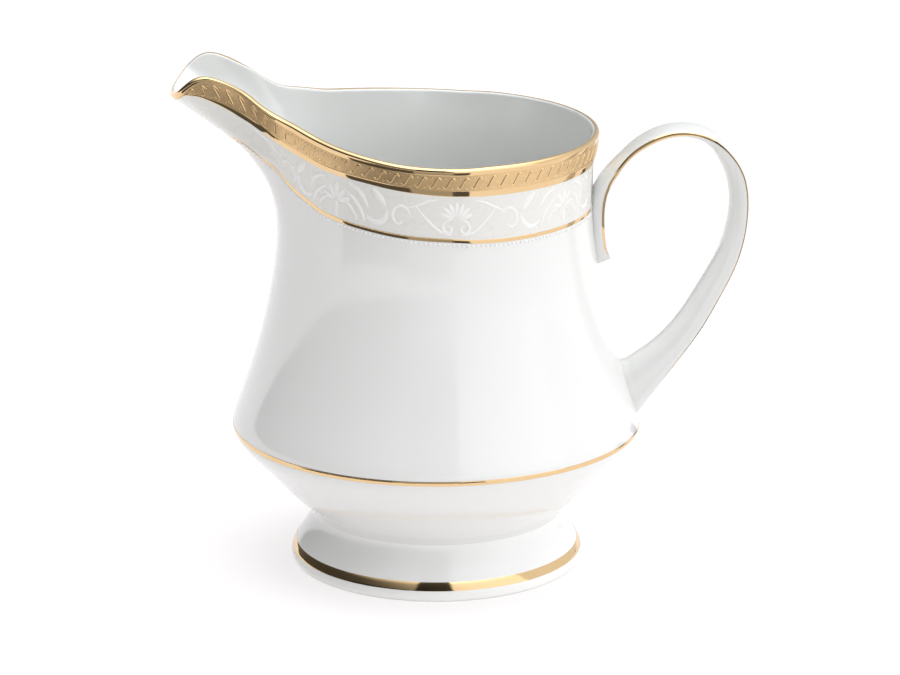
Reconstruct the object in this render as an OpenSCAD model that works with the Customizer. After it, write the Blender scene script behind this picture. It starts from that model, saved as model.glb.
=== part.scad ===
// Porcelain cream jug on a spreading foot, with a pulled spout, a loop handle,
// a gilded rim and a relief frieze.
// Millimetres. +Z is up, z = 0 is the table, the jug axis is the Z axis.
// The spout points to -X and the handle to +X.

/* [Body] */
// Radius of the rim, away from the spout
rim_r = 34.8; // [34:0.1:35.6]
// Height of the rim at the side, before the lip is rounded
rim_z = 95.3; // [94.6:0.1:96.5]
// Radius of the belly at its widest
belly_r = 44.2; // [43.5:0.1:45]
// Wall thickness low in the body
wall_low = 3.0; // [2.4:0.1:3.4]
// Wall thickness at the rim
wall_rim = 1.5; // [1.3:0.1:1.8]
// Height over which the pull of the spout fades into the neck
spout_fade = 5.6; // [4.8:0.1:6.4]

/* [Foot] */
// Radius of the foot at its widest
foot_r = 31.7; // [31.2:0.1:32.6]
// Width of the flat ring that the jug stands on
foot_ring = 3.4; // [2.6:0.1:4.2]

/* [Handle] */
// Scale of the handle's width across the strap
handle_width = 1.0; // [0.85:0.05:1.15]
// Points round one section of the handle
handle_sides = 24; // [16:4:32]

/* [Decoration] */
// Thickness of the gold layers
gold_t = 0.18; // [0.12:0.02:0.26]
// Thickness of the ivory enamel under the relief
enamel_t = 0.14; // [0.1:0.02:0.2]
// Width of the gold line under the frieze
frieze_line_w = 0.8; // [0.6:0.1:1.1]
// Distance between the beads under the frieze
bead_pitch = 1.1; // [1:0.1:1.6]
// Radius of one bead
bead_r = 0.28; // [0.24:0.02:0.36]
// Length of one repeat of the frieze's scrolls
scroll_pitch = 13; // [11:0.5:16]

/* [Hidden] */
eps = 0.01;
porcelain = [0.95, 0.95, 0.94];
gold = [0.83, 0.66, 0.36];
ivory = [0.90, 0.88, 0.83];

// Outline of the body above the waist: height and radius, from the waist to the rim.
waist_z = 11.4;
outline = [[waist_z, 27.4], [14.6, 30.0], [20.5, 35.9], [26.0, 41.1], [28.6, belly_r - 0.9],
  [30.6, belly_r], [33.0, belly_r - 0.3], [36.0, belly_r - 1.3], [42.0, 40.8], [50.2, 38.3],
  [59.0, 36.2], [67.0, 34.7], [74.4, 33.8], [81.8, 33.5], [88.5, rim_r - 1.0], [rim_z, rim_r]];

// The rim from the tip of the spout round to the side. Each row is the rim's own bearing
// from the spout, its radius and its height, and the bearing on the round neck that it
// is pulled out from. Behind the last row the rim is round.
spout_rim = [
  [0, 56.3, rim_z + 8.1, 0],
  [8.8, 55.4, rim_z + 9.6, 10],
  [12, 53.8, rim_z + 11.9, 14.5],
  [13.7, 49.8, rim_z + 14.15, 18.5],
  [15.3, 44.0, rim_z + 12.3, 22.5],
  [17.7, 40.4, rim_z + 9.55, 25],
  [22, 37.0, rim_z + 6.6, 28.5],
  [29.4, rim_r, rim_z + 5.1, 33],
  [38.5, rim_r - 1.2, rim_z + 3.8, 39.5],
  [48, rim_r - 1.5, rim_z + 2.8, 47],
  [65, rim_r - 1.0, rim_z + 1.5, 64],
  [80, rim_r - 0.2, rim_z + 0.5, 80],
  [94, rim_r, rim_z, 94],
  [108, rim_r, rim_z, 108]];
side_s = len(spout_rim) - 2; // station where the rim becomes round
back_s = 24; // station at the handle
back_bearing = 180;

// Depths below the rim, by station: the polished lip, the whole gold band, and the frieze.
lip_drop = [[0, 0.05], [3, 0.1], [6, 0.35], [10, 0.6], [24, 0.6]];
band_drop = [[0, 0.25], [1.7, 0.3], [2.2, 0.7], [2.65, 1.7], [3.2, 2.7], [4, 3.35], [6, 3.15],
  [8, 3.45], [10, 3.95], [11, 4.65], [12, 5.2], [14, 5.5], [24, 5.5]];
frieze_drop = [[0, 3.4], [1.9, 4.4], [2.6, 7.0], [4.4, 8.3], [7, 9.8], [9, 11.6], [10, 12.9],
  [11, 13.9], [13, 14.8], [15, 15.1], [24, 15.1]];
etch_share = 0.77; // share of the band, below the lip, that is etched
frieze_end_s = 22.5; // station where the frieze stops beside the handle

// ---- curves ----

// A smooth curve through the rows of a table, at row number s.
function blend4(a, b, c, d, f) =
  (2 * b + (c - a) * f + (2 * a - 5 * b + 4 * c - d) * f * f + (3 * b - a - 3 * c + d) * f * f * f) / 2;
function before_first(tab) = 2 * tab[0] - tab[1];
function after_last(tab) = 2 * tab[len(tab) - 1] - tab[len(tab) - 2];
function row(tab, i) = i < 0 ? before_first(tab) : i >= len(tab) ? after_last(tab) : tab[i];
function along(tab, s) =
  let (i = min(floor(s), len(tab) - 2))
  blend4(row(tab, i - 1), row(tab, i), row(tab, i + 1), row(tab, i + 2), s - i);
function mix(a, b, f) = a + (b - a) * f;
function unit(v) = v / norm(v);

outline_fine = [for (s = [0:0.125:len(outline) - 1]) along(outline, s)];
function body_r(z) = lookup(z, outline_fine);

// ---- outer surface of the body ----

// Rim row at station s: bearing, radius, height and neck bearing.
// The spout is symmetrical, so the row before the tip is the second row mirrored.
function tip_mirror(r) = [-r[0], r[1], r[2], -r[3]];
function spout_row(s) =
  let (i = floor(s))
  blend4(i == 0 ? tip_mirror(spout_rim[1]) : spout_rim[i - 1],
    spout_rim[i], spout_rim[i + 1], row(spout_rim, i + 2), s - i);
function round_row(s) =
  let (a = mix(spout_rim[side_s][0], back_bearing, (s - side_s) / (back_s - side_s)))
  [a, rim_r, rim_z, a];
function rim_row(s) = s < side_s ? spout_row(s) : round_row(s);

function ring_point(r, a, side, z) = [-r * cos(a), side * r * sin(a), z];
// Point of the outer surface at station s, at neck height z. side is -1 or 1.
function skin(s, side, z) =
  let (q = rim_row(s),
    neck = ring_point(body_r(z), q[3], side, z),
    rim = ring_point(q[1], q[0], side, q[2]),
    round_rim = ring_point(rim_r, q[3], side, rim_z))
  neck + exp((z - rim_z) / spout_fade) * (rim - round_rim);

// Outward unit normal and the surface's own up direction there.
d_s = 0.02;
d_z = 0.05;
function up_at(s, side, z) = unit(skin(s, side, z) - skin(s, side, z - d_z));
function round_at(s, side, z) =
  s < d_s ? [0, -1, 0] : s > back_s - d_s ? [0, 1, 0]
  : unit(side * (skin(s - d_s, side, z) - skin(s + d_s, side, z)));
function normal_at(s, side, z) = unit(cross(round_at(s, side, z), up_at(s, side, z)));
function lifted(s, side, z, t) = skin(s, side, z) + t * normal_at(s, side, z);

// ---- stations and levels ----

half_s = concat([for (k = [0:3 * side_s - 1]) k / 3], [for (s = [side_s:0.75:back_s]) s]);
last = len(half_s) - 1;
// Stations all the way round: from the spout by the near side (-Y) to the handle and back.
loop = concat([for (k = [0:last]) [half_s[k], -1]], [for (k = [last - 1:-1:1]) [half_s[k], 1]]);

function lip_z(s) = rim_z - lookup(s, lip_drop);
function band_z(s) = rim_z - lookup(s, band_drop);
function etch_z(s) = mix(lip_z(s), band_z(s), etch_share);
function frieze_z(s) = rim_z - lookup(s, frieze_drop);
function stretch(s, z) = norm(skin(s, 1, z) - skin(s, 1, z - d_z)) / d_z;
function frieze_foot_z(s) = frieze_z(s) - frieze_line_w / stretch(s, frieze_z(s));

plain_z = [waist_z, 13, 15, 18, 21, 24, 26.5, 28.6, 29.8, 31, 32.6, 35, 38.5, 43, 49, 56, 63, 70];
plain_top = plain_z[len(plain_z) - 1];
under_frieze = [0.35, 0.6, 0.8]; // shares of the way up from there to the frieze
// Levels of the outer skin at station s, from the waist to the rim.
function levels(s) = concat(plain_z,
  [for (f = under_frieze) mix(plain_top, frieze_foot_z(s), f)],
  [frieze_foot_z(s), frieze_z(s)],
  [for (f = [0.33, 0.67]) mix(frieze_z(s), band_z(s), f)],
  [band_z(s), etch_z(s), mix(etch_z(s), lip_z(s), 0.5), lip_z(s), rim_z]);
L_FOOT = len(plain_z) + len(under_frieze); // level at the foot of the frieze's gold line
L_FRIEZE = L_FOOT + 1;
L_BAND = L_FRIEZE + 3;
L_ETCH = L_BAND + 1;
L_LIP = L_ETCH + 2;
L_RIM = L_LIP + 1;

// ---- solids from rings of points ----

// rings is a list of rings of equal length. Every ring is a closed loop of points.
function strip(a, b, n) = [for (k = [0:n - 1]) let (m = (k + 1) % n)
  each [[a + k, b + k, b + m], [a + k, b + m, a + m]]];
function flat(list) = [for (sub = list) each sub];

// Skins a stack of rings, with a point closing each end.
module stack(rings, low, high) {
  n = len(rings[0]);
  m = len(rings);
  points = concat(flat(rings), [low, high]);
  skin_faces = flat([for (j = [0:m - 2]) strip(j * n, (j + 1) * n, n)]);
  low_faces = [for (k = [0:n - 1]) [m * n, k, (k + 1) % n]];
  high_faces = [for (k = [0:n - 1]) [m * n + 1, (m - 1) * n + (k + 1) % n, (m - 1) * n + k]];
  polyhedron(points, concat(skin_faces, low_faces, high_faces), convexity = 10);
}

// Joins rings into an endless tube: the last ring meets the first.
module endless(rings) {
  n = len(rings[0]);
  m = len(rings);
  faces = flat([for (j = [0:m - 1]) strip(j * n, ((j + 1) % m) * n, n)]);
  polyhedron(flat(rings), faces, convexity = 10);
}

// A layer of thickness t on the skin, between two levels, at one station.
function layer_ring(c, from, to, t) =
  let (z = levels(c[0]))
  concat([for (j = [from:to]) skin(c[0], c[1], z[j])],
    [for (j = [to:-1:from]) lifted(c[0], c[1], z[j], t)]);
function middle(ring) = [for (k = [0:2]) mean([for (p = ring) p[k]])];
function mean(v) = v * [for (x = v) 1] / len(v);

module layer_all_round(from, to, t) {
  endless([for (c = loop) layer_ring(c, from, to, t)]);
}

// The same layer, but stopping beside the handle. It is listed from handle to handle.
open_loop = concat([for (k = [last:-1:0]) if (half_s[k] <= frieze_end_s) [half_s[k], 1]],
  [for (k = [1:last]) if (half_s[k] <= frieze_end_s) [half_s[k], -1]]);
module layer_to_handle(from, to, t) {
  rings = [for (c = open_loop) layer_ring(c, from, to, t)];
  stack(rings, middle(rings[0]), middle(rings[len(rings) - 1]));
}

// ---- body ----

function wall_at(z) = mix(wall_low, wall_rim, min(1, max(0, (z - waist_z) / (rim_z - waist_z))));
inner_skip = [for (z = [17, 21, 26.5, 29.8, 32.6, 38.5, 49, 60, 70]) z];
function inner_levels(s) = concat(inner_skip,
  [frieze_foot_z(s), mix(frieze_z(s), band_z(s), 0.5), band_z(s), mix(band_z(s), rim_z, 0.6)]);
floor_z = 14.4;
floor_r = 22;
lip_rise = 0.6;

function inner_point(c, z) = lifted(c[0], c[1], z, -wall_at(z));
function lip_point(c, a) =
  let (o = skin(c[0], c[1], rim_z), i = inner_point(c, rim_z))
  (o + i) / 2 + cos(a) * (o - i) / 2 + lip_rise * sin(a) * up_at(c[0], c[1], rim_z);
lip_angles = [30, 60, 90, 120, 150];

module body_shell() {
  outer = [for (j = [0:L_RIM]) [for (c = loop) skin(c[0], c[1], levels(c[0])[j])]];
  lip = [for (a = lip_angles) [for (c = loop) lip_point(c, a)]];
  inner = [for (j = [len(inner_skip) + 3:-1:0])
    [for (c = loop) inner_point(c, inner_levels(c[0])[j])]];
  floor_ring = [for (c = loop) ring_point(floor_r, rim_row(c[0])[3], c[1], floor_z + 0.3)];
  color(porcelain)
    stack(concat(outer, lip, [[for (c = loop) inner_point(c, rim_z)]], inner, [floor_ring]),
      [0, 0, waist_z], [0, 0, floor_z]);
}

// Solid inside the outer skin, for cutting the handle's roots to the wall.
module body_mass() {
  stack([for (j = [0:L_BAND]) [for (c = loop) skin(c[0], c[1], levels(c[0])[j])]],
    [0, 0, waist_z], [0, 0, rim_z]);
}

// ---- foot ----

foot_edge = 0.6; // how far the foot draws in at the table
foot_outline = [[foot_r - foot_edge, 0], [foot_r - 0.1, 0.8], [foot_r, 1.8], [foot_r - 0.6, 3.4],
  [foot_r - 1.7, 5.2], [foot_r - 3.0, 7.2], [foot_r - 4.0, 9.2], [27.35, 10.6], [27.4, waist_z]];
foot_hollow = [[24.0, waist_z], [24.6, 8.4], [25.4, 5.4], [26.4, 2.8], [27.2, 1.0],
  [foot_r - foot_edge - foot_ring, 0]];
function curve_points(tab, step) = [for (s = [0:step:len(tab) - 1]) along(tab, s)];
foot_fine = [for (p = curve_points(foot_outline, 0.25)) [p[1], p[0]]];

module pedestal_foot() {
  color(porcelain)
    rotate_extrude($fn = 180)
      polygon(concat(curve_points(foot_outline, 0.25), curve_points(foot_hollow, 0.5)));
}

// ---- handle ----

// Stations down the handle: x and z of the edge of the strap, half its width, and how far
// its outer face and its inner face stand off the line between the two edges.
handle_rows = [
  [37.4, 67.2, 0.8, 3.2, 0.2],
  [36.5, 69.9, 2.6, 3.2, 0.25],
  [36.0, 74.0, 3.7, 3.2, 0.3],
  [35.9, 78.0, 4.2, 3.2, 0.35],
  [36.7, 83.2, 4.5, 2.9, 0.5],
  [39.7, 88.8, 4.6, 1.6, 0.8],
  [43.4, 92.5, 4.6, 1.25, 1.0],
  [48.0, 95.0, 4.6, 1.1, 1.2],
  [53.0, 95.9, 4.6, 0.8, 1.4],
  [58.5, 94.8, 4.6, 0.5, 2.2],
  [62.9, 91.2, 4.6, 0.3, 3.3],
  [65.7, 86.4, 4.6, 0.25, 3.9],
  [66.6, 80.3, 4.6, 0.2, 4.0],
  [66.0, 73.3, 4.6, 0.2, 4.2],
  [64.0, 66.3, 4.6, 0.2, 4.6],
  [60.6, 59.2, 4.6, 0.2, 5.0],
  [56.7, 52.2, 4.7, 0.2, 5.3],
  [51.6, 45.0, 4.8, 0.3, 6.2],
  [46.6, 38.4, 5.0, 0.5, 8.6],
  [41.6, 32.0, 5.3, 0.8, 9.5],
  [37.0, 26.0, 5.5, 1.0, 9.5]];
handle_step = 0.34;
edge_power = 0.72; // under 1 keeps a soft edge where the two faces meet

function handle_at(s) = along(handle_rows, s);
function handle_dir(s) =
  let (a = handle_at(max(0, s - 0.05)), b = handle_at(min(len(handle_rows) - 1, s + 0.05)))
  unit([b[0] - a[0], 0, b[1] - a[1]]);
// Outward direction, away from the gap of the handle: to the left of the way down.
function handle_out(s) = let (d = handle_dir(s)) [-d[2], 0, d[0]];
// Point on the strap: a is -1 to 1 across it, off is the offset outwards.
function strap_point(s, a, off) =
  let (q = handle_at(s))
  [q[0], a * q[2] * handle_width, q[1]] + off * handle_out(s);
function face_off(q, a) =
  sin(a) >= 0 ? q[3] * pow(sin(a), edge_power) : -q[4] * pow(-sin(a), edge_power);
function handle_ring(s) =
  let (q = handle_at(s))
  [for (k = [0:handle_sides - 1]) let (a = 180 + k * 360 / handle_sides)
    strap_point(s, cos(a), face_off(q, a))];

module handle() {
  rings = [for (s = [0:handle_step:len(handle_rows) - 1]) handle_ring(s)];
  color(porcelain)
    difference() {
      stack(rings, middle(rings[0]), middle(rings[len(rings) - 1]));
      body_mass();
    }
}

// A gold line on one edge of the strap, side -1 or 1.
line_from = 1.0;
line_to = 17.6;
line_half = 0.34;
function toward(p, q, d) = p + d * unit(q - p);
function line_ring(s, side) =
  let (n = handle_sides, ring = handle_ring(s), k = side < 0 ? 0 : n / 2,
    edge = ring[k],
    a = toward(edge, ring[(k + 1) % n], line_half),
    b = toward(edge, ring[(k + n - 1) % n], line_half),
    t = [0, side * gold_t, 0])
  [a, edge, b, b + t, edge + t, a + t];
module handle_gold_line(side) {
  rings = [for (s = [line_from:handle_step:line_to]) line_ring(s, side)];
  color(gold)
    stack(rings, middle(rings[0]), middle(rings[len(rings) - 1]));
}
module handle_gold_line_near() { handle_gold_line(-1); }
module handle_gold_line_far() { handle_gold_line(1); }

// ---- gold and enamel on the body ----

module rim_gold_line() { color(gold) layer_all_round(L_BAND, L_ETCH, gold_t); }
module rim_gold_band() { color(gold) layer_all_round(L_ETCH, L_LIP, gold_t); }
module frieze_ground() { color(ivory) layer_to_handle(L_FRIEZE, L_BAND, enamel_t); }
module frieze_gold_line() { color(gold) layer_to_handle(L_FOOT, L_FRIEZE, gold_t); }

// The polished lip: from the top of the etched band over the rounded edge.
gilt_angles = [30, 60, 90, 120];
function lip_ring(c) =
  let (up = up_at(c[0], c[1], rim_z), out = normal_at(c[0], c[1], rim_z), z = lip_z(c[0]))
  concat([skin(c[0], c[1], z), skin(c[0], c[1], rim_z)],
    [for (a = gilt_angles) lip_point(c, a)],
    [for (k = [len(gilt_angles) - 1:-1:0]) let (a = gilt_angles[k])
      lip_point(c, a) + gold_t * (cos(a) * out + sin(a) * up)],
    [lifted(c[0], c[1], rim_z, gold_t), lifted(c[0], c[1], z, gold_t)]);
module lip_gilding() {
  color(gold) endless([for (c = loop) lip_ring(c)]);
}

// Bands on the round parts, as rings with true round faces.
module ring_band(fine, low, high, t) {
  zs = [for (z = [low:(high - low) / 4:high + eps]) z];
  inner = [for (z = zs) [lookup(z, fine), z]];
  outer = [for (k = [len(zs) - 1:-1:0]) [lookup(zs[k], fine) + t, zs[k]]];
  color(gold) rotate_extrude($fn = 180) polygon(concat(inner, outer));
}
module belly_gold_line() { ring_band(outline_fine, 30.4, 31.4, gold_t); }
module foot_gold_band() { ring_band(foot_fine, 2.5, 4.2, gold_t); }

// Stations spaced evenly along the frieze's lower line, from the spout.
function speed(s, z) = norm(skin(s + d_s, -1, z) - skin(s - d_s, -1, z)) / (2 * d_s);
function spaced(s, pitch) = s > frieze_end_s ? []
  : concat([s], spaced(s + pitch / speed(s, frieze_z(s)), pitch));

bead_drop = 0.7; // from the foot of the gold line down to the beads
bead_sunk = 0.05;
bead_high = 0.28;
module bead(s, side) {
  z = frieze_foot_z(s) - bead_drop / stretch(s, frieze_foot_z(s));
  n = normal_at(s, side, z);
  translate(skin(s, side, z))
    rotate([0, acos(n[2]), atan2(n[1], n[0])])
      translate([0, 0, -bead_sunk])
        cylinder(h = bead_high, r = bead_r, $fn = 16);
}
module bead_row() {
  color(porcelain)
    for (s = spaced(0.4, bead_pitch), side = [-1, 1])
      bead(s, side);
}

// One raised scroll: an S in the plane of the frieze, laid on its surface.
scroll_points = 12;
scroll_sides = 4;
scroll_thick = 0.32;
function scroll_track(s, side, k) =
  let (f = k / scroll_points, a = 360 * f,
    run = scroll_pitch * 0.42 * (f - 0.5) * 2,
    q = s + run / speed(s, frieze_z(s)),
    share = 0.5 + 0.28 * sin(a))
  [q, side, mix(frieze_z(q), band_z(q), share)];
module scroll(s, side) {
  rings = [for (k = [0:scroll_points])
    let (p = scroll_track(s, side, k), t = scroll_thick * (0.4 + 0.6 * sin(180 * k / scroll_points)),
      n = normal_at(p[0], side, p[2]), up = up_at(p[0], side, p[2]),
      base = lifted(p[0], side, p[2], enamel_t))
    [for (a = [0:360 / scroll_sides:359]) base + t * (-side * cos(a) * up + max(0, sin(a)) * n
      - (sin(a) < 0 ? 0.1 : 0) * n)]];
  stack(rings, middle(rings[0]), middle(rings[scroll_points]));
}
module frieze_scrolls() {
  color("white")
    for (s = spaced(4.5, scroll_pitch), side = [-1, 1])
      if (s < frieze_end_s - 1.2)
        scroll(s, side);
}

body_shell();
pedestal_foot();
handle();
lip_gilding();
rim_gold_band();
rim_gold_line();
frieze_ground();
frieze_scrolls();
frieze_gold_line();
bead_row();
belly_gold_line();
foot_gold_band();
handle_gold_line_near();
handle_gold_line_far();
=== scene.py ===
import math

import bmesh
import bpy
import numpy as np
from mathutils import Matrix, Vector


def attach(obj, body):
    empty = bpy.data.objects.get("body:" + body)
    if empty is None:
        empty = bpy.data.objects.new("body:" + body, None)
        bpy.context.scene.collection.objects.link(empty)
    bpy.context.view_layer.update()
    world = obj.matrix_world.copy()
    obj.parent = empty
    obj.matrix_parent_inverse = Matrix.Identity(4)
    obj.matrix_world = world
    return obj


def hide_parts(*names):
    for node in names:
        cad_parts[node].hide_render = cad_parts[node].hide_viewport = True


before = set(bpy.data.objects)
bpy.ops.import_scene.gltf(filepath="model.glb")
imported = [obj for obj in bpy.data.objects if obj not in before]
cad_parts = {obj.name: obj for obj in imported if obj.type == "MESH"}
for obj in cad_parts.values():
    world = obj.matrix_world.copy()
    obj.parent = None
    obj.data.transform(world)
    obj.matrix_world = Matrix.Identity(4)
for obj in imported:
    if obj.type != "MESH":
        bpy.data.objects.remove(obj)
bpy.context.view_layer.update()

MM = 0.001  # the tables below are in millimetres, meshes are made in metres

# ---------------------------------------------------------------- dimensions

RIM_R, RIM_Z = 34.8, 95.3
BELLY_R = 44.2
WALL_LOW, WALL_RIM = 3.0, 1.5
SPOUT_FADE = 5.6  # depth over which the spout's pull dies away below the rim
WAIST_Z = 11.4
FOOT_R = 31.7
FOOT_RING = 3.4  # width of the flat ring that the jug stands on
FOOT_EDGE = 0.6  # how far the foot draws in at the table
FLOOR_Z = 14.4  # the bowl's floor, inside
FLOOR_EYE = 0.4  # radius of the flat at the middle of that floor
LIP_RISE = 0.6

# Height and radius of the whole outside, from the table to the rim.
FOOT_OUTLINE = [
    (0, FOOT_R - FOOT_EDGE), (0.8, FOOT_R - 0.1), (1.8, FOOT_R), (3.4, FOOT_R - 0.6),
    (5.2, FOOT_R - 1.7), (7.2, FOOT_R - 3.0), (9.2, FOOT_R - 4.0), (10.6, 27.35)]
BODY_OUTLINE = [
    (WAIST_Z, 27.4), (14.6, 30.0), (20.5, 35.9), (26.0, 41.1), (28.6, BELLY_R - 0.9),
    (30.6, BELLY_R), (33.0, BELLY_R - 0.3), (36.0, BELLY_R - 1.3), (42.0, 40.8), (50.2, 38.3),
    (59.0, 36.2), (67.0, 34.7), (74.4, 33.8), (81.8, 33.5), (88.5, RIM_R - 1.0), (RIM_Z, RIM_R)]

# Radius and height inside the foot, from the waist down to the ring.
FOOT_HOLLOW = [
    (24.0, WAIST_Z), (24.6, 8.4), (25.4, 5.4), (26.4, 2.8), (27.2, 1.0),
    (FOOT_R - FOOT_EDGE - FOOT_RING, 0)]

# The rim by station, from the tip of the spout to the side: bearing from the spout, radius,
# height, and the bearing on the round neck that it is pulled out from.
SPOUT_RIM = [
    (0, 56.3, RIM_Z + 8.1, 0), (8.8, 55.4, RIM_Z + 9.6, 10), (12, 53.8, RIM_Z + 11.9, 14.5),
    (13.7, 49.8, RIM_Z + 14.15, 18.5), (15.3, 44.0, RIM_Z + 12.3, 22.5),
    (17.7, 40.4, RIM_Z + 9.55, 25), (22, 37.0, RIM_Z + 6.6, 28.5), (29.4, RIM_R, RIM_Z + 5.1, 33),
    (38.5, RIM_R - 1.2, RIM_Z + 3.8, 39.5), (48, RIM_R - 1.5, RIM_Z + 2.8, 47),
    (65, RIM_R - 1.0, RIM_Z + 1.5, 64), (80, RIM_R - 0.2, RIM_Z + 0.5, 80), (94, RIM_R, RIM_Z, 94)]
SIDE_S = len(SPOUT_RIM) - 1  # station where the rim becomes round
BACK_S = 24  # station at the handle

# Depths below the rim, by station.
LIP_DROP = [(0, .03), (3, .1), (6, .35), (10, .6), (24, .6)]
BAND_DROP = [(0, .1), (1.7, .15), (2.2, .65), (2.65, 1.7), (3.2, 2.7), (4, 3.35), (6, 3.15),
             (8, 3.45), (10, 3.95), (11, 4.65), (12, 5.2), (14, 5.5), (24, 5.5)]
FRIEZE_DROP = [(0, 3.4), (1.9, 4.4), (2.6, 7.0), (4.4, 8.3), (7, 9.8), (9, 11.6), (10, 12.9),
               (11, 13.9), (13, 14.8), (15, 15.1), (24, 15.1)]
FRIEZE_SOFT = 0.35  # how far, in stations, the corners of that table are rounded
ETCH_SHARE = 0.74  # share of the band, below the lip, that is etched
FRIEZE_END_S = 22.5  # station where the frieze stops beside the handle
FRIEZE_LINE_W = 0.8

# Heights of the plain gold bands, low and high.
BELLY_LINE = (30.4, 31.4)
FOOT_BAND = (2.5, 4.2)

# Thicknesses of the layers, and how deep each one reaches into what is under it.
GOLD_T = 0.07
ETCHED_T = GOLD_T * 0.7
ENAMEL_T = 0.05
BURIED = 0.03

# Stations down the handle: x and z of the strap's edge, half its width, and how far its
# outer and its inner face stand off the line between the two edges.
HANDLE_ROWS = [
    (37.4, 67.2, 0.8, 3.2, 0.2), (36.5, 69.9, 2.6, 3.2, 0.25), (36.0, 74.0, 3.7, 3.2, 0.3),
    (35.9, 78.0, 4.2, 3.2, 0.35), (36.7, 83.2, 4.5, 2.9, 0.5), (39.7, 88.8, 4.6, 1.6, 0.8),
    (43.4, 92.5, 4.6, 1.25, 1.0), (48.0, 95.0, 4.6, 1.1, 1.2), (53.0, 95.9, 4.6, 0.8, 1.4),
    (58.5, 94.8, 4.6, 0.5, 2.2), (62.9, 91.2, 4.6, 0.3, 3.3), (65.7, 86.4, 4.6, 0.25, 3.9),
    (66.6, 80.3, 4.6, 0.2, 4.0), (66.0, 73.3, 4.6, 0.2, 4.2), (64.0, 66.3, 4.6, 0.2, 4.6),
    (60.6, 59.2, 4.6, 0.2, 5.0), (56.7, 52.2, 4.7, 0.2, 5.3), (51.6, 45.0, 4.8, 0.3, 6.2),
    (46.6, 38.4, 5.0, 0.5, 8.6), (41.6, 32.0, 5.3, 0.8, 9.5), (37.0, 26.0, 5.5, 1.0, 9.5)]
HANDLE_SIDES = 64
EDGE_POWER = 0.72  # under 1 keeps a soft edge where the two faces meet
FILLET = 1.3  # how far the strap flares where it meets the body
FILLET_DEPTH = 1.6  # depth inside the wall at which the flare is gone
FILLET_END = 18.5  # row of the handle below which its sides run straight into the wall

# The gold line on the strap's edges: its first and last row, half its width by row, and its
# cross-section as shares of that half width with the height off the edge.
LINE_FROM, LINE_TO = 0.4, 17.6
LINE_HALF = [(0, .40), (2, .52), (8, .46), (10, .32), (13, .20), (18, .12)]
LINE_SECTION = [(-1, -.05), (-1, .02), (-.5, .05), (0, .06), (.5, .05), (1, .02), (1, -.05)]

# The burnished waves: pitch, half length and half height as shares of the pitch and of the
# etched band, how far round the hooks go, half width, and the lowest band they are drawn on.
WAVE_PITCH = 2.9
WAVE_LEAN, WAVE_RISE = 0.50, 0.34
WAVE_HOOK = 1.65
WAVE_HALF = 0.22
WAVE_MIN_BAND = 1.2
DOT_R, DOT_HIGH = 0.17, 0.06
DOT_LEAN, DOT_RISE = 0.22, 0.33

# Relief motif: paths of (distance from the palmette in mm, share of the frieze's height)
# with the half width of the stroke. The other half of the motif is its mirror image.
CELL = 26.7  # from a palmette to the next flower
RELIEF = [
    (0.42, [(0.3, .40), (1.4, .45), (2.7, .34), (2.5, .17), (1.4, .14), (1.0, .25), (1.7, .29)]),
    (0.34, [(11.2, .60), (8.3, .73), (6.0, .85), (3.8, .90)]),
    (0.40, [(8.9, .80), (7.6, .60), (6.3, .44), (5.1, .31), (3.2, .15), (0.9, .08)]),
    (0.42, [(9.3, .38), (10.3, .63), (12.3, .65), (13.4, .42), (12.3, .24), (11.2, .34)]),
    (0.62, [(14.5, .54), (15.1, .30), (17.0, .18), (19.2, .26)]),
    (0.75, [(17.6, .95), (16.7, .83), (15.7, .71), (14.9, .59)]),
    (0.45, [(19.6, .12), (20.6, .38), (22.2, .58), (24.0, .70)]),
    (0.36, [(21.3, .10), (22.4, .30), (23.7, .43), (25.2, .48)]),
    (0.50, [(18.9, .46), (19.9, .68), (21.5, .84), (23.6, .92)])]
# Fans of petals: distance from the palmette, share of the height at the root, length of a
# petal in mm, and the angles of the petals.
PALMETTE_FAN = (0.0, .46, 3.7, (-72, -48, -24, 0, 24, 48, 72))
FLOWER_FAN = (CELL, .44, 3.5, (-75, -37, 0, 37, 75))
FLOWER_STEM = [(CELL, .42), (CELL, .20), (CELL, .04)]
PETAL_HALF, PETAL_HIGH = 0.62, 0.19
STEM_HALF, STROKE_HIGH = 0.5, 0.16
FRIEZE_TALL = 9.0  # height of the frieze that a petal's length is measured against
PALMETTE_S = 12.3  # station of the palmette on each side of the jug
RELIEF_START_S = 3.6  # the spout's tip is left plain as far as this station

BEAD_PITCH = 1.0
BEAD_R, BEAD_HIGH = 0.29, 0.22
BEAD_DROP = 0.55  # from the foot of the gold line down to the beads
BEAD_START_S = 1.2

# ---------------------------------------------------------------- colours

GLAZE = (0.78, 0.785, 0.775, 1), (0.80, 0.805, 0.795, 1)
# Painted light: the foot's glaze colour is lighter than the body's GLAZE, to stand in for extra
# light falling on the foot.
FOOT_GLAZE_PAINTED_LIGHT = (0.925, 0.93, 0.92, 1), (0.94, 0.945, 0.935, 1)
BISQUE = (0.70, 0.68, 0.64, 1), (0.78, 0.76, 0.72, 1)
BURNISHED = (0.74, 0.51, 0.26, 1), (0.80, 0.59, 0.34, 1)
ETCHED = (0.67, 0.45, 0.22, 1), (0.80, 0.59, 0.34, 1)
IVORY = (0.755, 0.75, 0.715, 1), (0.78, 0.775, 0.745, 1)
WHITE_ENAMEL = (0.83, 0.83, 0.81, 1), (0.86, 0.86, 0.845, 1)

# ---------------------------------------------------------------- studio

CAMERA_PITCH = 17.1
CAMERA_DISTANCE = 973.3
CAMERA_TARGET = (2.94, 0.0, 49.29)
CAMERA_LENS, CAMERA_SENSOR = 180, 36

LEFT_LIGHT, RIGHT_LIGHT, TOP_LIGHT, BOX_LIGHT = 0.06, 1.02, 2.30, 0.5
TOP_FROM, TOP_FULL = 30.0, 78.0  # elevations between which the overhead light comes up
LIGHT_TINT = (0.985, 0.998, 1.0, 1)
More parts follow.
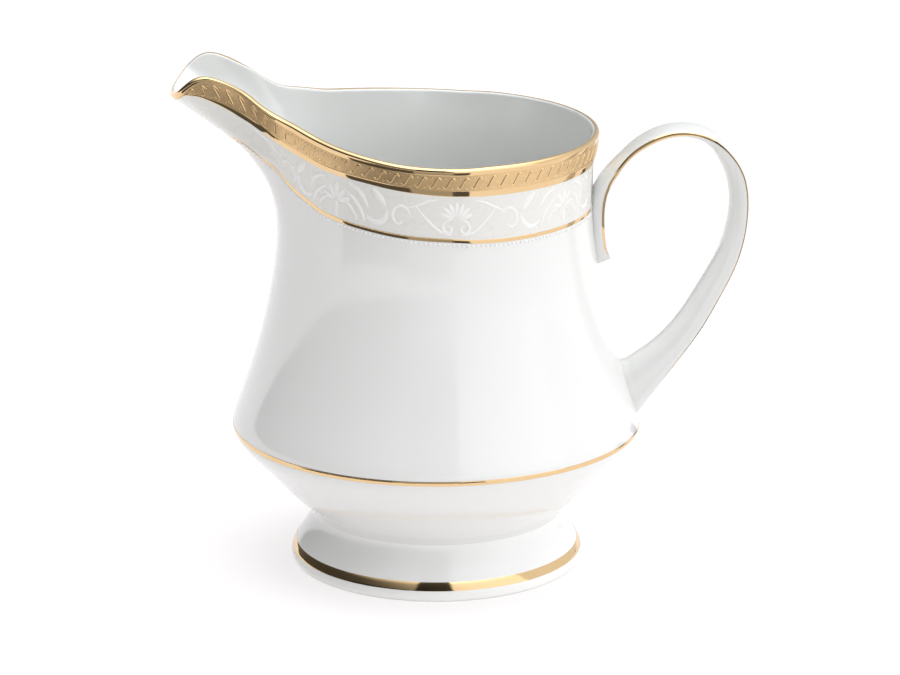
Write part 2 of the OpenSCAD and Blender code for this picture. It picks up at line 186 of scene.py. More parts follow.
# Areas of the studio in degrees: bearing from the camera's side and elevation, each as its
# low end, its high end and how soft they are.
SOFTBOX = ((13.0, 75.0, 1.0), (-5.0, 55.0, 2.0))
CAMERA_GAP = ((-17.0, 13.0, 1.5), (8.0, 60.0, 3.0))
LEFT_GAP = ((-69.0, -20.0, 2.0), (-5.0, 14.0, 2.0))
GAP_DEPTH = 0.93

FLOOR_HALF = 6.0  # metres
FLOOR_GLOW = 0.62
FLOOR_COLOUR = (0.40, 0.385, 0.39, 1)
FLOOR_TINT = (1.0, 0.985, 0.985, 1)

# Cards lying round the jug that only its polished surfaces see: bearings from the camera's
# side, positive to the right, brightness, and how far out they reach.
CARDS = [
    (-69, -20, 0.10, 600), (-20, 11, 0.45, 900), (11, 23, 0.10, 420),
    (108, 116, 0.06, 300), (128, 135, 0.10, 300)]
CARD_NEAR = 120.0
CARD_Z = 0.2

# ---------------------------------------------------------------- curves


def spline(knots, rows):
    """A smooth curve through the rows at the knots: a function of the knot value."""
    t = np.asarray(knots, float)
    p = np.asarray(rows, float).reshape(len(t), -1)
    h = np.diff(t)
    n = len(t)
    a = np.eye(n)
    b = np.zeros_like(p)
    for i in range(1, n - 1):
        a[i, i - 1:i + 2] = h[i - 1], 2 * (h[i - 1] + h[i]), h[i]
        b[i] = 6 * ((p[i + 1] - p[i]) / h[i] - (p[i] - p[i - 1]) / h[i - 1])
    m = np.linalg.solve(a, b)

    def at(x):
        x = np.asarray(x, float)
        i = np.clip(np.searchsorted(t, x, side="right") - 1, 0, n - 2)
        d = h[i][..., None]
        u = (x - t[i])[..., None]
        v = d - u
        cubic = (m[i] * v ** 3 + m[i + 1] * u ** 3) / (6 * d)
        return cubic + (p[i] / d - m[i] * d / 6) * v + (p[i + 1] / d - m[i + 1] * d / 6) * u

    return at


def chord_lengths(rows):
    """Distance along the polyline through the rows, at each row."""
    steps = np.linalg.norm(np.diff(np.asarray(rows, float), axis=0), axis=1)
    return np.concatenate([[0], np.cumsum(steps)])


def unit(v):
    return v / np.linalg.norm(v, axis=-1, keepdims=True)


def table(rows, soft=0.16):
    """A straight-line lookup in a two-column table, with its corners rounded off."""
    xs, ys = zip(*rows)
    offsets = np.linspace(-2, 2, 33)
    weights = np.exp(-offsets ** 2 / 2) / np.exp(-offsets ** 2 / 2).sum()

    def at(x):
        near = np.abs(np.asarray(x, float)[..., None] + soft * offsets)
        return np.interp(near, xs, ys) @ weights

    return at


def make_outline():
    rows = FOOT_OUTLINE + BODY_OUTLINE
    along = chord_lengths(rows)
    fine = spline(along, rows)(np.linspace(0, along[-1], 8000))
    return lambda z: np.interp(z, fine[:, 0], fine[:, 1])


outline_r = make_outline()


def make_rim():
    """Rim row at a signed station: positive on the near side, negative on the far side."""
    rows = [list(r) for r in SPOUT_RIM]
    step = (180 - rows[-1][0]) / (BACK_S - SIDE_S)
    stations = list(range(SIDE_S + 1))
    for s in range(SIDE_S + 2, BACK_S + 5, 2):
        a = rows[SIDE_S][0] + (s - SIDE_S) * step
        rows.append([a, RIM_R, RIM_Z, a])
        stations.append(s)
    back_rows = [[-a, r, z, -n] for a, r, z, n in rows[:0:-1]]
    return spline([-s for s in stations[:0:-1]] + stations, back_rows + rows)


rim_row = make_rim()


def ring_point(r, bearing, z):
    """Point at a radius, a bearing from the spout in degrees, and a height."""
    a = np.radians(bearing)
    return np.stack(np.broadcast_arrays(-r * np.cos(a), -r * np.sin(a), z), axis=-1)


def skin(s, z):
    """Point of the jug's outer surface at station s and neck height z, arrays or numbers."""
    s, z = np.broadcast_arrays(np.asarray(s, float), np.asarray(z, float))
    q = rim_row(s)
    neck = ring_point(outline_r(z), q[..., 3], z)
    pull = ring_point(q[..., 1], q[..., 0], q[..., 2]) - ring_point(RIM_R, q[..., 3], RIM_Z)
    return neck + np.exp((z - RIM_Z) / SPOUT_FADE)[..., None] * pull


D_S, D_Z = 0.02, 0.05  # steps used to find the directions on the skin


def up_at(s, z):
    return unit(skin(s, z) - skin(s, np.asarray(z) - D_Z))


def round_at(s, z):
    s = np.asarray(s, float)
    return unit(skin(s + D_S, z) - skin(s - D_S, z))


def normal_at(s, z):
    return unit(np.cross(round_at(s, z), up_at(s, z)))


def lifted(s, z, t):
    return skin(s, z) + np.asarray(t, float)[..., None] * normal_at(s, z)


lip_drop = table(LIP_DROP)
band_drop = table(BAND_DROP)
frieze_drop = table(FRIEZE_DROP, FRIEZE_SOFT)


def lip_z(s):
    return RIM_Z - lip_drop(s)


def band_z(s):
    return RIM_Z - band_drop(s)


def etch_z(s):
    return lip_z(s) + (band_z(s) - lip_z(s)) * ETCH_SHARE


def frieze_z(s):
    return RIM_Z - frieze_drop(s)


def stretch(s, z):
    """Millimetres of surface per millimetre of neck height."""
    return np.linalg.norm(skin(s, z) - skin(s, np.asarray(z) - D_Z), axis=-1) / D_Z


def below(s, z, distance):
    """Neck height that lies a real distance below z."""
    return z - distance / stretch(s, z)


def frieze_foot_z(s):
    return below(s, frieze_z(s), FRIEZE_LINE_W)


def stations(count_spout, count_round, end=BACK_S):
    """Signed stations from the handle by the far side, the spout and the near side."""
    half = np.concatenate([
        np.linspace(0, SIDE_S, count_spout, endpoint=False),
        np.linspace(SIDE_S, end, count_round)])
    return np.concatenate([-half[:0:-1], half])


ROUND = stations(132, 90)[:-1]

# ---------------------------------------------------------------- meshes


class Build:
    """Collects grids of points and their faces for one mesh."""

    def __init__(self):
        self.points, self.faces, self.count = [], [], 0

    def grid(self, p, wrap_rows=False, wrap_cols=False, flip=False):
        """p is rows x columns x 3."""
        m, n = p.shape[:2]
        rows = np.arange(m if wrap_rows else m - 1)[:, None]
        cols = np.arange(n if wrap_cols else n - 1)[None, :]
        a = rows * n + cols
        b = rows * n + (cols + 1) % n
        c = (rows + 1) % m * n + (cols + 1) % n
        d = (rows + 1) % m * n + cols
        quads = np.stack([a, b, c, d] if not flip else [a, d, c, b], axis=-1).reshape(-1, 4)
        self.faces += (quads + self.count).tolist()
        self.points.append(p.reshape(-1, 3))
        self.count += m * n

    def cap(self, ring, flip=False):
        """A flat lid on a ring of points."""
        n = len(ring)
        order = range(n - 1, -1, -1) if flip else range(n)
        self.faces.append([self.count + k for k in order])
        self.points.append(np.asarray(ring, float))
        self.count += n

    def closed_sweep(self, rings, flip=False):
        """A tube through the rings, with a lid on each end."""
        self.grid(rings, wrap_cols=True, flip=flip)
        self.cap(rings[0], flip=not flip)
        self.cap(rings[-1], flip=flip)

    def piece(self, name, material, nodes, smooth_angle=50):
        mesh = bpy.data.meshes.new(name)
        points = np.concatenate(self.points) * MM
        mesh.from_pydata(points.tolist(), [], self.faces)
        obj = bpy.data.objects.new(name, mesh)
        bpy.context.scene.collection.objects.link(obj)
        weld(mesh)
        mesh.shade_smooth()
        mesh.set_sharp_from_angle(angle=math.radians(smooth_angle))
        mesh.materials.append(material)
        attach(obj, "root")
        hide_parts(*nodes)
        return obj


def weld(mesh):
    """Joins the points that grids share, and makes the faces look outwards."""
    bm = bmesh.new()
    bm.from_mesh(mesh)
    bmesh.ops.remove_doubles(bm, verts=bm.verts, dist=1e-7)
    bmesh.ops.recalc_face_normals(bm, faces=bm.faces)
    bm.to_mesh(mesh)
    bm.free()


# ---------------------------------------------------------------- node helpers


class Nodes:
    """Short calls for building a node tree."""

    def __init__(self, tree):
        self.tree = tree
        tree.nodes.clear()

    def add(self, kind, **settings):
        node = self.tree.nodes.new(kind)
        for key, value in settings.items():
            setattr(node, key, value)
        return node

    def link(self, source, target):
        self.tree.links.new(source, target)

    def put(self, socket, value):
        if hasattr(value, "is_output"):
            self.link(value, socket)
        else:
            socket.default_value = value

    def math(self, operation, *values):
        node = self.add("ShaderNodeMath", operation=operation)
        for socket, value in zip(node.inputs, values):
            self.put(socket, value)
        return node.outputs[0]

    def ramp(self, value, low, high):
        """0 below low, 1 above high, smooth between."""
        node = self.add("ShaderNodeMapRange", interpolation_type="SMOOTHSTEP", clamp=True)
        self.put(node.inputs["Value"], value)
        node.inputs["From Min"].default_value = low
        node.inputs["From Max"].default_value = high
        return node.outputs["Result"]

    def window(self, value, low, high, soft):
        """1 between low and high, fading to 0 outside."""
        rise = self.ramp(value, low - soft, low + soft)
        fall = self.ramp(value, high - soft, high + soft)
        return self.math("SUBTRACT", rise, fall)

    def mix(self, factor, a, b):
        node = self.add("ShaderNodeMix", data_type="RGBA")
        self.put(node.inputs["Factor"], factor)
        self.put(node.inputs["A"], a)
        self.put(node.inputs["B"], b)
        return node.outputs["Result"]

    def spread(self, value, low, high):
        """Scales 0..1 to low..high."""
        node = self.add("ShaderNodeMapRange")
        self.put(node.inputs["Value"], value)
        node.inputs["To Min"].default_value = low
        node.inputs["To Max"].default_value = high
        return node.outputs["Result"]


class Shader(Nodes):
    """A material with object coordinates and one Principled shader."""

    def __init__(self, name, **constants):
        self.material = bpy.data.materials.new(name)
        self.material.use_nodes = True
        super().__init__(self.material.node_tree)
        self.coords = self.add("ShaderNodeTexCoord").outputs["Object"]
        self.shader = self.add("ShaderNodeBsdfPrincipled")
        out = self.add("ShaderNodeOutputMaterial")
        self.link(self.shader.outputs["BSDF"], out.inputs["Surface"])
        for key, value in constants.items():
            self.shader.inputs[key].default_value = value

    def noise(self, scale, detail=2.0, squash=None):
        node = self.add("ShaderNodeTexNoise")
        node.inputs["Scale"].default_value = scale
        node.inputs["Detail"].default_value = detail
        vector = self.coords
        if squash:
            mapping = self.add("ShaderNodeMapping")
            mapping.inputs["Scale"].default_value = squash
            self.link(vector, mapping.inputs["Vector"])
            vector = mapping.outputs["Vector"]
        self.link(vector, node.inputs["Vector"])
        return node.outputs["Fac"]

    def bump(self, height, strength, distance, normal=None):
        node = self.add("ShaderNodeBump")
        node.inputs["Strength"].default_value = strength
        node.inputs["Distance"].default_value = distance
        self.link(height, node.inputs["Height"])
        if normal is not None:
            self.link(normal, node.inputs["Normal"])
        return node.outputs["Normal"]

    def set(self, key, value):
        self.put(self.shader.inputs[key], value)


# ---------------------------------------------------------------- materials


def porcelain():
    """White glazed body: a cool white under clear glaze that pools a little unevenly."""
    m = Shader("glazed_porcelain", **{"IOR": 1.5, "Coat Weight": 0.35, "Coat Roughness": 0.03})
    m.set("Base Color", m.mix(m.noise(35), *GLAZE))
    m.set("Roughness", m.spread(m.noise(90), 0.07, 0.13))
    ripple = m.bump(m.noise(55, detail=1.0), 0.25, 0.00025)
    m.set("Normal", m.bump(m.noise(900, detail=1.0), 0.12, 0.00002, ripple))
    return m.material


def foot_porcelain():
    """The body's glaze with its base colour painted lighter, as painted light standing in for extra
    light on the foot; wiped off the ring that the jug stands on, where the bisque shows.
    """
    m = Shader("foot_porcelain", **{"IOR": 1.5, "Coat Roughness": 0.03})
    split = m.add("ShaderNodeSeparateXYZ")
    m.link(m.coords, split.inputs["Vector"])
    edge = m.math("ADD", split.outputs["Z"], m.math("MULTIPLY", m.noise(260), 0.0003))
    glazed = m.ramp(edge, 0.0003, 0.0006)
    # Painted light: this glaze colour is lighter than the body's, to stand in for extra light
    # falling on the foot.
    white = m.mix(m.noise(35), *FOOT_GLAZE_PAINTED_LIGHT)
    bisque = m.mix(m.noise(1500, detail=4.0), *BISQUE)
    m.set("Base Color", m.mix(glazed, bisque, white))
    m.set("Roughness", m.spread(glazed, 0.8, 0.1))
    ripple = m.bump(m.noise(55, detail=1.0), 0.25, 0.00025)
    m.set("Normal", m.bump(m.noise(2500, detail=4.0), 0.15, 0.00003, ripple))
    return m.material


def burnished_gold():
    """Polished gilding: a mirror with faint rubbing marks and slightly paler patches."""
    m = Shader("burnished_gold", **{"Metallic": 1.0})
    m.set("Base Color", m.mix(m.noise(160), *BURNISHED))
    m.set("Roughness", m.spread(m.noise(700, detail=3.0, squash=(1, 1, 6)), 0.03, 0.10))
    m.set("Normal", m.bump(m.noise(1400, detail=3.0, squash=(1, 1, 4)), 0.10, 0.00003))
    return m.material


def etched_gold():
    """Acid-etched gilding: matte, with a fine stippled ground."""
    m = Shader("etched_gold", **{"Metallic": 1.0})
    m.set("Base Color", m.mix(m.noise(900, detail=3.0), *ETCHED))
    m.set("Roughness", m.spread(m.noise(600), 0.34, 0.5))
    dots = m.add("ShaderNodeTexVoronoi")
    dots.inputs["Scale"].default_value = 3600
    m.link(m.coords, dots.inputs["Vector"])
    m.set("Normal", m.bump(dots.outputs["Distance"], 0.5, 0.00006))
    return m.material


def ivory_enamel():
    """The frieze's pearly ivory ground."""
    m = Shader("ivory_enamel", **{"IOR": 1.55, "Coat Weight": 0.3, "Coat Roughness": 0.12})
    m.set("Base Color", m.mix(m.noise(90), *IVORY))
    m.set("Roughness", m.spread(m.noise(400), 0.22, 0.34))
    return m.material


def relief_enamel():
    """Raised white enamel: the scrolls, flowers and beads."""
    m = Shader("relief_enamel", **{"IOR": 1.5, "Coat Weight": 0.4, "Coat Roughness": 0.05})
    m.set("Base Color", m.mix(m.noise(300), *WHITE_ENAMEL))
    m.set("Roughness", m.spread(m.noise(500), 0.12, 0.24))
    m.set("Normal", m.bump(m.noise(2600), 0.15, 0.00002))
    return m.material


# ---------------------------------------------------------------- body


def wall_at(z):
    share = np.clip((z - WAIST_Z) / (RIM_Z - WAIST_Z), 0, 1)
    return WALL_LOW + (WALL_RIM - WALL_LOW) * share


def inner_point(s, z):
    return lifted(s, z, -wall_at(z))


def lip_point(s, angle, grow=0.0):
    """The rounded edge of the wall: angle 0 is outside, 180 is inside."""
    o, i = skin(s, RIM_Z), inner_point(s, RIM_Z)
    up, out = up_at(s, RIM_Z), normal_at(s, RIM_Z)
    a = np.radians(angle)
    round_edge = (o + i) / 2 + math.cos(a) * (o - i) / 2 + LIP_RISE * math.sin(a) * up
    return round_edge + grow * (math.cos(a) * out + math.sin(a) * up)


def make_body(material):
    levels = np.concatenate([
        np.arange(WAIST_Z, 25, 0.6), np.arange(25, 36, 0.3), np.arange(36, 78, 0.9),
        np.linspace(78, RIM_Z, 64)])
    outer = [skin(ROUND, z) for z in levels]
    lip = [lip_point(ROUND, a) for a in range(15, 180, 15)]
    inner_levels = np.concatenate([np.linspace(RIM_Z, 78, 46), np.arange(77, 18.5, -1.3)])
    inner = [inner_point(ROUND, z) for z in inner_levels]
    bearing = rim_row(ROUND)[:, 3]
    rim_of_floor = inner[-1]
    centre = ring_point(FLOOR_EYE, bearing, FLOOR_Z)
    floor = []
    for f in np.linspace(0, 1, 14)[1:]:
        blend = f ** 0.8
        p = rim_of_floor * (1 - blend) + centre * blend
        p[:, 2] = FLOOR_Z + (rim_of_floor[:, 2] - FLOOR_Z) * (1 - f) ** 2.4
        floor.append(p)
    b = Build()
    b.grid(np.array(outer + lip + inner + floor), wrap_cols=True)
    b.cap(floor[-1])
    b.cap(outer[0])
    return b.piece("porcelain_body", material, ["body_shell"])


def make_foot(material):
    turns = np.linspace(0, 360, 360, endpoint=False)
    levels = np.concatenate([np.linspace(0, 2, 9), np.linspace(2.3, WAIST_Z, 40)])
    outer = [(outline_r(z), z) for z in levels]
    last = len(FOOT_HOLLOW) - 1
    hollow = spline(range(last + 1), FOOT_HOLLOW)
    profile = outer + [tuple(p) for p in hollow(np.linspace(0, last, 40))]
    b = Build()
    b.grid(np.array([ring_point(r, turns, z) for r, z in profile]), wrap_rows=True, wrap_cols=True)
    return b.piece("porcelain_foot", material, ["pedestal_foot"])


# ---------------------------------------------------------------- handle


handle_at = spline(range(len(HANDLE_ROWS)), HANDLE_ROWS)


def handle_out(s):
    """Direction away from the gap of the handle, square to its way down."""
    s = np.asarray(s)
    d = unit(handle_at(s + 0.05)[..., :2] - handle_at(s - 0.05)[..., :2])
    return np.stack([-d[..., 1], 0 * d[..., 0], d[..., 0]], axis=-1)


def strap_point(s, across, off):
    """Point at row s, across from -1 to 1, and off the line between the two edges."""
    q = handle_at(s)
    base = np.stack([q[..., 0], across * q[..., 2], q[..., 1]], axis=-1)
    return base + np.asarray(off)[..., None] * handle_out(s)


def face_off(s, a):
    """How far the strap's face stands off at row s and angle a round its section."""
    q = handle_at(s)
    w = np.sin(a)
    full = np.abs(w) ** EDGE_POWER
    return np.where(w >= 0, q[..., 3], -q[..., 4]) * full


def body_gap(p):
    """Roughly how far a point is outside the body's wall."""
    r = np.hypot(p[..., 0], p[..., 1])
    z = p[..., 2]
    slope = outline_r(z + 0.5) - outline_r(z - 0.5)
    return (r - outline_r(z)) / np.sqrt(1 + slope ** 2)


def strap_grid(s, a):
    """Points of the strap's surface, flared where it runs into the wall of the body."""
    s, a = np.broadcast_arrays(np.asarray(s, float), np.asarray(a, float))
    p = strap_point(s, np.cos(a), face_off(s, a))
    quarter = np.full_like(a, np.pi / 2)
    between = face_off(s, quarter) * 0.5 + face_off(s, -quarter) * 0.5
    middle = strap_point(s, 0 * a, between)
    gap = body_gap(p)
    near = np.clip(1 - gap / FILLET, 0, 1)
    grow = FILLET * (1 - np.sqrt(1 - near ** 2 * 0.9))
    grow = grow * np.clip(1 + gap / FILLET_DEPTH, 0, 1)
    grow = grow * (1 - 0.95 * np.clip(np.sin(a), 0, 1) ** 0.5)  # the outer face stays flush
    grow = grow * np.clip((FILLET_END - s) / 0.6, 0, 1)
    return p + unit(p - middle) * grow[..., None]


def make_handle(material):
    s = np.linspace(0, len(HANDLE_ROWS) - 1, 260)[:, None]
    a = np.linspace(0, 2 * np.pi, HANDLE_SIDES, endpoint=False)[None, :]
    b = Build()
    b.closed_sweep(strap_grid(s, a))
    return b.piece("porcelain_handle", material, ["handle"], smooth_angle=70)


def make_handle_line(name, near, material, node):
    """A gold line on one edge of the strap, tapering to a point at both ends."""
    s = np.linspace(LINE_FROM, LINE_TO, 220)
    ends = np.minimum((s - s[0]) / 1.2, (s[-1] - s) / 2.5)
    half = np.interp(s, *zip(*LINE_HALF)) * np.clip(ends, 0.05, 1) ** 0.6
    edge, across = (np.pi, -1) if near else (0.0, 1)
    outward = np.stack([0 * s, np.full_like(s, across), 0 * s], axis=-1)
    q = handle_at(s)
    rings = []
    for share, lift in LINE_SECTION:
        reach = half * share
        size = np.where(reach > 0, q[:, 3], q[:, 4])
        turn = np.clip(np.abs(reach) / np.maximum(size, 0.2), 0, 1) ** (1 / EDGE_POWER)
        a = edge + across * np.sign(reach) * np.arcsin(turn)
        rings.append(strap_grid(s, a) + outward * lift)
    b = Build()
    b.closed_sweep(np.stack(rings, axis=1))
    return b.piece(name, material, [node])


# ---------------------------------------------------------------- gold and enamel layers


def skin_offset(s, z, t):
    return lifted(s, z, t + 0 * np.asarray(z))


def layer(b, cols, low, high, thick, rows=5, crown=0.0, close=True):
    """A thin layer on the skin between two heights, with soft edges, swept along cols."""
    fractions = np.linspace(0, 1, rows)
    z_low, z_high = low(cols), high(cols)
    rings = [skin_offset(cols, z_low, -BURIED)]
    for f in fractions:
        t = thick * (0.6 if f in (0, 1) else 1) + crown * math.sin(math.pi * f)
        rings.append(skin_offset(cols, z_low + (z_high - z_low) * f, t))
    rings.append(skin_offset(cols, z_high, -BURIED))
    grid = np.stack(rings, axis=1)
    if close:
        b.grid(grid, wrap_rows=True, wrap_cols=True)
    else:
        b.closed_sweep(grid)


def make_rim_gold(polished, etched):
    """Gilding over the lip, the etched band below it, and the plain line that closes it."""
    low = lip_z(ROUND)
    rings = [skin_offset(ROUND, low, t) for t in (-BURIED, GOLD_T * 0.6)]
    rings += [skin_offset(ROUND, low + f * (RIM_Z - low), GOLD_T) for f in (0.15, 0.5, 1)]
    rings += [lip_point(ROUND, a, GOLD_T) for a in range(15, 121, 15)]
    rings += [lip_point(ROUND, a, -BURIED) for a in range(120, 14, -15)]
    rings += [skin_offset(ROUND, RIM_Z + 0 * ROUND, -BURIED)]
    b = Build()
    b.grid(np.stack(rings, axis=1), wrap_rows=True, wrap_cols=True)
    b.piece("gilt_lip", polished, ["lip_gilding"])

    b = Build()
    layer(b, ROUND, etch_z, lip_z, ETCHED_T)
    b.piece("etched_rim_band", etched, ["rim_gold_band"])

    b = Build()
    layer(b, ROUND, band_z, etch_z, GOLD_T, rows=7, crown=0.015)
    b.piece("gilt_rim_line", polished, ["rim_gold_line"])


def make_frieze(ivory, polished):
    cols = stations(132, 80, FRIEZE_END_S)
    b = Build()
    layer(b, cols, frieze_z, band_z, ENAMEL_T, rows=9, close=False)
    b.piece("ivory_frieze", ivory, ["frieze_ground"])
    b = Build()
    layer(b, cols, frieze_foot_z, frieze_z, GOLD_T, rows=6, close=False)
    b.piece("gilt_frieze_line", polished, ["frieze_gold_line"])


def make_round_band(name, material, node, low, high):
    turns = np.linspace(0, 360, 360, endpoint=False)
    zs = np.linspace(low, high, 8)
    rings = [ring_point(outline_r(z) - BURIED, turns, z) for z in zs]
    soft = [0.5] + [1] * 6 + [0.5]
    rings += [ring_point(outline_r(z) + GOLD_T * k, turns, z) for z, k in zip(zs[::-1], soft)]
    b = Build()
    b.grid(np.array(rings), wrap_rows=True, wrap_cols=True)
    return b.piece(name, material, [node])


# ---------------------------------------------------------------- patterns along the rim


class Track:
    """Maps a distance along a line round the jug to its station, from the spout's tip."""

    def __init__(self, height):
        self.s = np.linspace(-BACK_S, BACK_S, 4801)
        self.length = chord_lengths(skin(self.s, height(self.s)))
        self.length -= self.length[len(self.s) // 2]

    def station(self, distance):
        return np.interp(distance, self.length, self.s)

    def reach(self, s):
        return np.interp(s, self.s, self.length)


def stroke(b, s, z, half, height, base, sides=4):
    """A raised stroke with a domed top along a path on the skin, pointed at both ends."""
    n = normal_at(s, z)
    p = skin(s, z) + n * base
    along = unit(np.gradient(p, axis=0))
    side = unit(np.cross(n, along))
    rings = [p - side * half[:, None] - n * BURIED]
    for k in range(sides + 1):
        a = math.pi * (1 - k / sides)
        rings.append(p + side * (math.cos(a) * half)[:, None] + n * (math.sin(a) * height)[:, None])
    rings.append(p + side * half[:, None] - n * BURIED)
    b.closed_sweep(np.stack(rings, axis=1), flip=True)


def dome(b, s, z, radius, height, base, around=8, rows=2):
    """A small bead standing on the skin."""
    n = normal_at(s, z)
    p = skin(s, z) + n * base
    up, side = up_at(s, z), round_at(s, z)
    turn = np.linspace(0, 2 * np.pi, around, endpoint=False)
    ring = np.cos(turn)[:, None] * side + np.sin(turn)[:, None] * up
    rings = [p + ring * radius - n * BURIED]
    for k in range(rows + 1):
        a = math.pi / 2 * k / (rows + 0.35)
        rings.append(p + ring * radius * math.cos(a) + n * height * math.sin(a))
    b.closed_sweep(np.array(rings))


def make_waves(material):
    """The row of burnished S waves on the etched band, each with a dot by its hooks."""
    track = Track(lambda s: (etch_z(s) + lip_z(s)) / 2)
    start, end = track.reach(-BACK_S), track.reach(BACK_S)
    count = int((end - start) / WAVE_PITCH)
    pitch = (end - start) / count
    # One wave: an S lying along the band with both ends hooked, in shares of pitch and height.
    t = np.linspace(-1, 1, 19)
    lean = WAVE_LEAN * t
    rise = WAVE_RISE * np.sin(np.pi / 2 * WAVE_HOOK * t)
    half = WAVE_HALF * np.clip(1.1 - np.abs(t) ** 6, 0.2, 1)
    b = Build()
    for k in range(count):
        centre = start + (k + 0.5) * pitch
        s_mid = track.station(centre)
        tall = (lip_z(s_mid) - etch_z(s_mid)) * stretch(s_mid, lip_z(s_mid))
        if tall < WAVE_MIN_BAND:
            continue
        s = track.station(centre + pitch * lean)
        z = etch_z(s) + (lip_z(s) - etch_z(s)) * (0.5 + rise)
        stroke(b, s, z, half, half * 0.6, ETCHED_T, sides=3)
        for side in (-1, 1):
            s_dot = track.station(centre + side * pitch * DOT_LEAN)
            z_dot = etch_z(s_dot) + (lip_z(s_dot) - etch_z(s_dot)) * (0.5 - side * DOT_RISE)
            dome(b, s_dot, z_dot, DOT_R, DOT_HIGH, ETCHED_T, around=7, rows=1)
    return b.piece("burnished_waves", material, ["rim_gold_band"])


class Frieze:
    """Places flat drawings on the frieze between its gold line and the rim's gold line."""

    def __init__(self, build):
        self.build = build
        self.track = Track(lambda s: (frieze_z(s) + band_z(s)) / 2)
        self.palmette = self.track.reach(PALMETTE_S)

    def draw(self, half, path, centre, mirror, side, height=STROKE_HIGH):
        """One stroke on one side of the jug, left out where it would leave the frieze."""
        f = np.linspace(0, 1, 26)
        u, v = spline(np.linspace(0, 1, len(path)), path)(f).T
        s = self.track.station(side * (centre + mirror * u))
        if np.abs(s).min() < RELIEF_START_S or np.abs(s).max() > FRIEZE_END_S - 0.2:
            return
        z = frieze_z(s) + (band_z(s) - frieze_z(s)) * v
        body = half * np.sin(np.pi * (0.06 + 0.88 * f)) ** 0.6
        stroke(self.build, s, z, body, height * body / half, ENAMEL_T)

    def fan(self, fan, centre, side):
        offset, low, length, angles = fan
        for angle in angles:
            a = math.radians(angle)
            along, up = length * math.sin(a), length * math.cos(a) / FRIEZE_TALL
            root = (offset + 0.6 * math.sin(a), low + 0.06 * math.cos(a))
            mid = (offset + 0.55 * along, low + 0.55 * up)
            tip = (offset + along, low + up)
            self.draw(PETAL_HALF, [root, mid, tip], centre, 1, side, PETAL_HIGH)


def make_relief(material):
    b = Build()
    frieze = Frieze(b)
    for side in (-1, 1):
        for turn in (-2, 0, 2):
            centre = frieze.palmette + turn * CELL
            frieze.fan(PALMETTE_FAN, centre, side)
            frieze.fan(FLOWER_FAN, centre, side)
            frieze.draw(STEM_HALF, FLOWER_STEM, centre, 1, side)
            for mirror in (-1, 1):
                for half, path in RELIEF:
                    frieze.draw(half, path, centre, mirror, side)
    return b.piece("relief_scrolls", material, ["frieze_scrolls"])


def make_beads(material):
    track = Track(frieze_foot_z)
    end = track.reach(FRIEZE_END_S)
    b = Build()
    for distance in np.arange(-end + BEAD_PITCH, end, BEAD_PITCH):
        s = track.station(distance)
        if abs(s) < BEAD_START_S:
            continue
        dome(b, s, below(s, frieze_foot_z(s), BEAD_DROP), BEAD_R, BEAD_HIGH, 0.0)
    return b.piece("bead_chain", material, ["bead_row"])


# ---------------------------------------------------------------- stage


def staged(name, points, faces, material):
    """A piece of the studio, which isn't part of the jug."""
    mesh = bpy.data.meshes.new(name)
    mesh.from_pydata(points, [], faces)
    mesh.materials.append(material)
    obj = bpy.data.objects.new(name, mesh)
    bpy.context.scene.collection.objects.link(obj)
    return obj


def make_floor():
    m = Shader("pale_floor", **{"Roughness": 0.9, "Specular IOR Level": 0.1})
    m.set("Base Color", FLOOR_COLOUR)
    m.set("Emission Color", FLOOR_TINT)
    m.set("Emission Strength", FLOOR_GLOW)
    e = FLOOR_HALF
    corners = [(-e, -e, 0), (e, -e, 0), (e, e, 0), (-e, e, 0)]
    staged("studio_floor", corners, [(0, 1, 2, 3)], m.material)


def make_cards():
    for k, (start, end, level, far) in enumerate(CARDS):
        m = Shader("card_%d" % k, **{"Roughness": 1.0, "Specular IOR Level": 0.0})
        m.set("Base Color", (0, 0, 0, 1))
        m.set("Emission Color", (level, level, level, 1))
        m.set("Emission Strength", 1.0)
        a = np.radians(np.linspace(start, end, 24))
        arc = np.stack([np.sin(a), -np.cos(a), 0 * a + 1], axis=1)
        b = Build()
        b.grid(np.array([arc * (reach, reach, CARD_Z) for reach in (CARD_NEAR, far)]))
        points = np.concatenate(b.points) * MM
        card = staged("card_%d" % k, points.tolist(), b.faces, m.material)
        card.visible_camera = False
        card.visible_diffuse = False
        card.visible_shadow = False
        card.visible_transmission = False


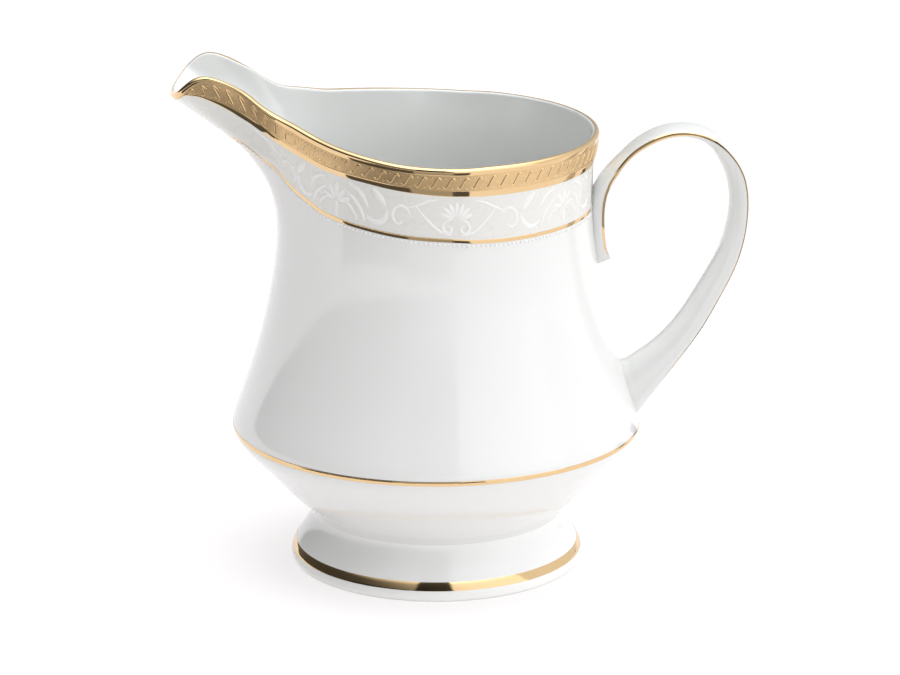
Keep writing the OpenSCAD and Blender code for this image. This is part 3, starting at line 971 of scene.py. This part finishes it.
def make_world():
    """Soft studio light all round: bright overhead, a wide softbox on the right, dimmer on the
    left, and a dark gap where the camera stands."""
    world = bpy.data.worlds.new("studio")
    bpy.context.scene.world = world
    world.use_nodes = True
    w = Nodes(world.node_tree)
    split = w.add("ShaderNodeSeparateXYZ")
    w.link(w.add("ShaderNodeTexCoord").outputs["Generated"], split.inputs["Vector"])
    x, y, z = (split.outputs[k] for k in "XYZ")
    azimuth = w.math("DEGREES", w.math("ARCTAN2", x, w.math("MULTIPLY", y, -1.0)))
    elevation = w.math("DEGREES", w.math("ARCSINE", z))

    def area(bearings, elevations):
        return w.math("MULTIPLY", w.window(azimuth, *bearings), w.window(elevation, *elevations))

    level = w.spread(w.ramp(x, -1.0, 1.0), LEFT_LIGHT, RIGHT_LIGHT)
    top = w.ramp(elevation, TOP_FROM, TOP_FULL)
    level = w.math("ADD", level, w.math("MULTIPLY", top, TOP_LIGHT))
    level = w.math("ADD", level, w.math("MULTIPLY", area(*SOFTBOX), BOX_LIGHT))
    dark = w.math("MAXIMUM", area(*CAMERA_GAP), area(*LEFT_GAP))
    shade = w.math("SUBTRACT", 1.0, w.math("MULTIPLY", dark, GAP_DEPTH))
    background = w.add("ShaderNodeBackground")
    background.inputs["Color"].default_value = LIGHT_TINT
    w.link(w.math("MULTIPLY", level, shade), background.inputs["Strength"])
    out = w.add("ShaderNodeOutputWorld")
    w.link(background.outputs["Background"], out.inputs["Surface"])


def make_camera():
    data = bpy.data.cameras.new("camera")
    data.lens, data.sensor_width = CAMERA_LENS, CAMERA_SENSOR
    camera = bpy.data.objects.new("camera", data)
    bpy.context.scene.collection.objects.link(camera)
    a = math.radians(CAMERA_PITCH)
    back = Vector((0, -math.cos(a), math.sin(a)))
    camera.location = (Vector(CAMERA_TARGET) + back * CAMERA_DISTANCE) * MM
    camera.rotation_euler = (math.pi / 2 - a, 0, 0)
    bpy.context.scene.camera = camera


def main():
    make_camera()
    make_floor()
    make_cards()
    make_world()
    bpy.context.scene.view_settings.view_transform = "Standard"
    glaze, polished, etched = porcelain(), burnished_gold(), etched_gold()
    ivory, white = ivory_enamel(), relief_enamel()
    make_body(glaze)
    make_foot(foot_porcelain())
    make_handle(glaze)
    make_rim_gold(polished, etched)
    make_waves(polished)
    make_frieze(ivory, polished)
    make_relief(white)
    make_beads(white)
    make_round_band("gilt_belly_line", polished, "belly_gold_line", *BELLY_LINE)
    make_round_band("gilt_foot_band", polished, "foot_gold_band", *FOOT_BAND)
    make_handle_line("gilt_handle_line_near", True, polished, "handle_gold_line_near")
    make_handle_line("gilt_handle_line_far", False, polished, "handle_gold_line_far")


main()
